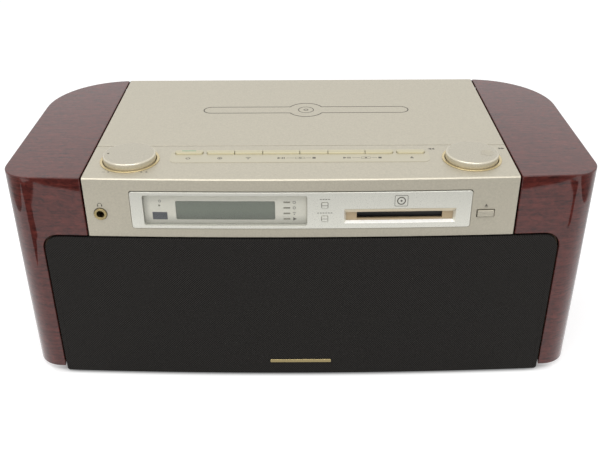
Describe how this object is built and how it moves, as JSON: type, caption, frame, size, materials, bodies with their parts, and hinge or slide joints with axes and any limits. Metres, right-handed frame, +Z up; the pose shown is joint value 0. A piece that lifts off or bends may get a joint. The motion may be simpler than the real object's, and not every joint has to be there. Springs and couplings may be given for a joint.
{
  "type": "cd minidisc system",
  "caption": "Table-top CD and minidisc player with gloss wood ends, bowed metal control panel, hinged disc lid, minidisc slot, rotary knobs and a cloth speaker grille.",
  "frame": {"origin": "middle of the object's box at the floor, on the underside of the feet", "axes": "+X to the right seen from the front, +Y to the back, +Z up"},
  "size_m": [0.514, 0.2434, 0.2155],
  "materials": {
    "lacquered_wood": "gloss lacquer over figured mahogany",
    "board": "plain fibreboard",
    "champagne_metal": "fine blasted champagne anodise",
    "pale_silver": "satin silver paint",
    "cream_plastic": "satin",
    "clear_window": "clear",
    "lcd_glass": "satin grey green",
    "beige_plastic": "satin",
    "brass": "polished",
    "black_plastic": "fine spark texture",
    "steel": "zinc plated",
    "circuit_board": "solder mask",
    "grille_cloth": "fine woven speaker cloth",
    "speaker_cone": "pulp paper",
    "rubber": "matte",
    "lamp": "unlit lens",
    "white_gear": "acetal"
  },
  "bodies": {
    "cabinet": {"left_wood_end": "lacquered_wood", "right_wood_end": "lacquered_wood", "base_board": "board", "speaker_baffle": "board", "chamber_shelf": "board", "rear_panel": "black_plastic", "jack_plate": "black_plastic", "mains_inlet": "black_plastic", "control_panel": "champagne_metal", "key_plate": "cream_plastic", "display_bezel": "pale_silver", "display_window": "clear_window", "display_face": "pale_silver", "lcd_module": "lcd_glass", "indicator_lights": "lamp", "md_slot_guide": "beige_plastic", "phones_jack": "brass", "knob_rings": "brass", "rotary_controls": "steel", "key_board": "circuit_board", "cd_deck": "black_plastic", "lid_motor": "steel", "cd_chassis": "steel", "cd_spindle_motor": "steel", "cd_sled_motor": "steel", "md_chassis": "steel", "main_board": "circuit_board", "power_transformer": "steel", "grille_frame": "black_plastic", "grille_cloth": "grille_cloth", "left_speaker": "steel", "right_speaker": "steel", "feet": "rubber", "case_screws": "steel"},
    "lid": {"disc_lid": "champagne_metal", "lid_liner": "black_plastic"},
    "lid_gear": {"lid_pinion": "white_gear"},
    "clamp": {"disc_clamp": "black_plastic"},
    "turntable": {"cd_turntable": "black_plastic"},
    "pickup": {"cd_pickup": "black_plastic"},
    "sled_drive_gear": {"sled_gear": "white_gear"},
    "slot_flap": {"md_flap": "black_plastic"},
    "cartridge_holder": {"md_holder": "steel"},
    "minidisc_turntable": {"md_turntable": "black_plastic"},
    "volume": {"volume_knob": "champagne_metal"},
    "jog": {"jog_knob": "champagne_metal"},
    "left_speaker_cone": {"left_cone": "speaker_cone"},
    "right_speaker_cone": {"right_cone": "speaker_cone"},
    "display_button": {"display_key": "pale_silver"},
    "mode_button": {"mode_key": "pale_silver"},
    "eject_button": {"md_eject_key": "champagne_metal"},
    "power_key_body": {"power_key": "cream_plastic"},
    "line_key_body": {"line_key": "cream_plastic"},
    "radio_key_body": {"radio_key": "cream_plastic"},
    "cd_play_key_body": {"cd_play_key": "cream_plastic"},
    "cd_stop_key_body": {"cd_stop_key": "cream_plastic"},
    "md_play_key_body": {"md_play_key": "cream_plastic"},
    "md_stop_key_body": {"md_stop_key": "cream_plastic"},
    "lid_key_body": {"lid_key": "cream_plastic"}
  },
  "joints": [
    {"name": "lid_open", "type": "hinge", "parent": "cabinet", "child": "lid", "pos_m": [0, 0.1132, 0.201], "axis": [-1, 0, 0], "range_deg": [0, 60]},
    {"name": "lid_gear_turn", "type": "hinge", "parent": "cabinet", "child": "lid_gear", "pos_m": [-0.171, 0.08397, 0.18798], "axis": [-1, 0, 0], "range_deg": [-261, 1]},
    {"name": "turntable_spin", "type": "hinge", "parent": "cabinet", "child": "turntable", "pos_m": [0.0053, 0.0347, 0.192], "axis": [0, 0, 1], "continuous": true},
    {"name": "clamp_spin", "type": "hinge", "parent": "lid", "child": "clamp", "pos_m": [0.0053, 0.0347, 0.196], "axis": [0, 0, 1], "continuous": true},
    {"name": "pickup_travel", "type": "slide", "parent": "cabinet", "child": "pickup", "axis": [1, 0, 0], "range_m": [0, 0.032]},
    {"name": "sled_gear_turn", "type": "hinge", "parent": "cabinet", "child": "sled_drive_gear", "pos_m": [0.0503, 0.0056, 0.18], "axis": [0, 0, 1], "range_deg": [-330, 1]},
    {"name": "slot_flap_swing", "type": "hinge", "parent": "cabinet", "child": "slot_flap", "pos_m": [0.0852, -0.11025, 0.17745], "axis": [1, 0, 0], "range_deg": [0, 80], "stiffness_Nm_per_rad": 0.0003},
    {"name": "holder_drop", "type": "slide", "parent": "cabinet", "child": "cartridge_holder", "axis": [0, 0, -1], "range_m": [0, 0.004]},
    {"name": "minidisc_spin", "type": "hinge", "parent": "cabinet", "child": "minidisc_turntable", "pos_m": [0.0852, -0.06485, 0.1578], "axis": [0, 0, 1], "continuous": true},
    {"name": "volume_turn", "type": "hinge", "parent": "cabinet", "child": "volume", "pos_m": [-0.1502, -0.0803, 0.209], "axis": [0, 0, 1], "range_deg": [-238, 55]},
    {"name": "jog_turn", "type": "hinge", "parent": "cabinet", "child": "jog", "pos_m": [0.1502, -0.0803, 0.209], "axis": [0, 0, 1], "continuous": true},
    {"name": "power_key_press", "type": "slide", "parent": "cabinet", "child": "power_key_body", "axis": [0, 0, -1], "range_m": [0, 0.001], "stiffness_N_per_m": 400},
    {"name": "line_key_press", "type": "slide", "parent": "cabinet", "child": "line_key_body", "axis": [0, 0, -1], "range_m": [0, 0.001], "stiffness_N_per_m": 400},
    {"name": "radio_key_press", "type": "slide", "parent": "cabinet", "child": "radio_key_body", "axis": [0, 0, -1], "range_m": [0, 0.001], "stiffness_N_per_m": 400},
    {"name": "cd_play_key_press", "type": "slide", "parent": "cabinet", "child": "cd_play_key_body", "axis": [0, 0, -1], "range_m": [0, 0.001], "stiffness_N_per_m": 400},
    {"name": "cd_stop_key_press", "type": "slide", "parent": "cabinet", "child": "cd_stop_key_body", "axis": [0, 0, -1], "range_m": [0, 0.001], "stiffness_N_per_m": 400},
    {"name": "md_play_key_press", "type": "slide", "parent": "cabinet", "child": "md_play_key_body", "axis": [0, 0, -1], "range_m": [0, 0.001], "stiffness_N_per_m": 400},
    {"name": "md_stop_key_press", "type": "slide", "parent": "cabinet", "child": "md_stop_key_body", "axis": [0, 0, -1], "range_m": [0, 0.001], "stiffness_N_per_m": 400},
    {"name": "lid_key_press", "type": "slide", "parent": "cabinet", "child": "lid_key_body", "axis": [0, 0, -1], "range_m": [0, 0.001], "stiffness_N_per_m": 400},
    {"name": "display_key_press", "type": "slide", "parent": "cabinet", "child": "display_button", "axis": [0, 1, 0], "range_m": [0, 0.0008], "stiffness_N_per_m": 400},
    {"name": "mode_key_press", "type": "slide", "parent": "cabinet", "child": "mode_button", "axis": [0, 1, 0], "range_m": [0, 0.0008], "stiffness_N_per_m": 400},
    {"name": "eject_key_press", "type": "slide", "parent": "cabinet", "child": "eject_button", "axis": [0, 1, 0], "range_m": [0, 0.0008], "stiffness_N_per_m": 500},
    {"name": "left_cone_travel", "type": "slide", "parent": "cabinet", "child": "left_speaker_cone", "axis": [0, 1, 0], "range_m": [-0.0025, 0.0025], "stiffness_N_per_m": 1500},
    {"name": "right_cone_travel", "type": "slide", "parent": "cabinet", "child": "right_speaker_cone", "axis": [0, 1, 0], "range_m": [-0.0025, 0.0025], "stiffness_N_per_m": 1500}
  ],
  "couplings": [
    {"joint": "lid_gear_turn", "follows": "lid_open", "ratio": -4.3333},
    {"joint": "clamp_spin", "follows": "turntable_spin", "ratio": 1},
    {"joint": "sled_gear_turn", "follows": "pickup_travel", "rad_per_m": -178.57}
  ]
}
